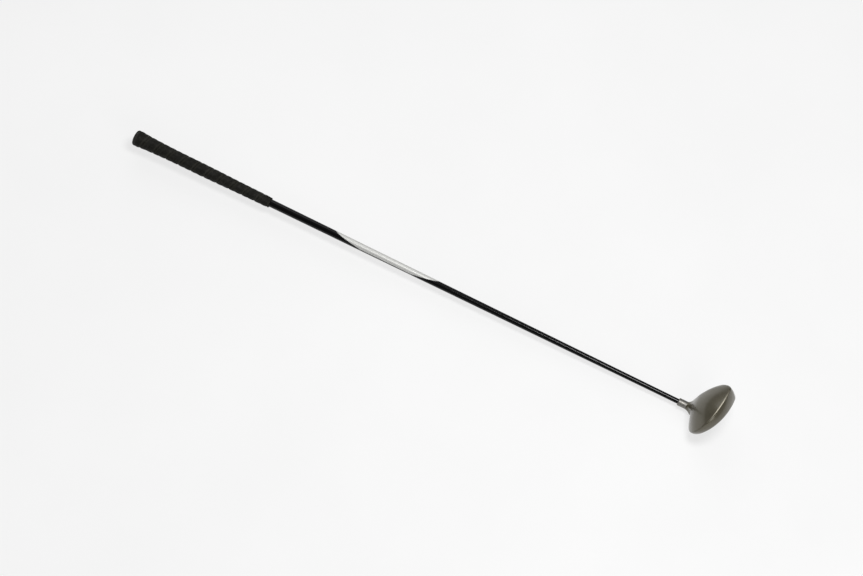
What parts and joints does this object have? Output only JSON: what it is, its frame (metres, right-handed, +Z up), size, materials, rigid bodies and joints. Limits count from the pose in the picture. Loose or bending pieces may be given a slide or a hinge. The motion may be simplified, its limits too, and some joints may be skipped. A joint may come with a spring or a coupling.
{
  "type": "golf club",
  "caption": "Golf driver with a hollow satin grey metal head, a gloss black shaft with a silver band and a black wrapped rubber grip.",
  "frame": {"origin": "centre of the bounding box at its lowest level", "axes": "+X along the shaft from butt to head, +Z up as the club lies, with the toe up and leaning over to the face's side"},
  "size_m": [1.1468, 0.095, 0.0992],
  "materials": {
    "grip_rubber": "matte with a pebbled wrap",
    "shaft_paint": "gloss black with a silver band",
    "head_metal": "satin grey",
    "hosel_steel": "bright satin",
    "face_metal": "blasted with score lines",
    "tape_paper": "adhesive tape",
    "resin": "cured epoxy",
    "cork": "cork"
  },
  "bodies": {
    "root": {"grip_end_cap": "grip_rubber", "grip_sleeve": "grip_rubber", "grip_tape": "tape_paper", "shaft_tube": "shaft_paint", "shaft_tip_plug": "cork", "hosel_bond": "resin", "hosel_tube": "hosel_steel", "crown_shell": "head_metal", "body_shell": "head_metal", "face_plate": "face_metal"}
  },
  "joints": []
}
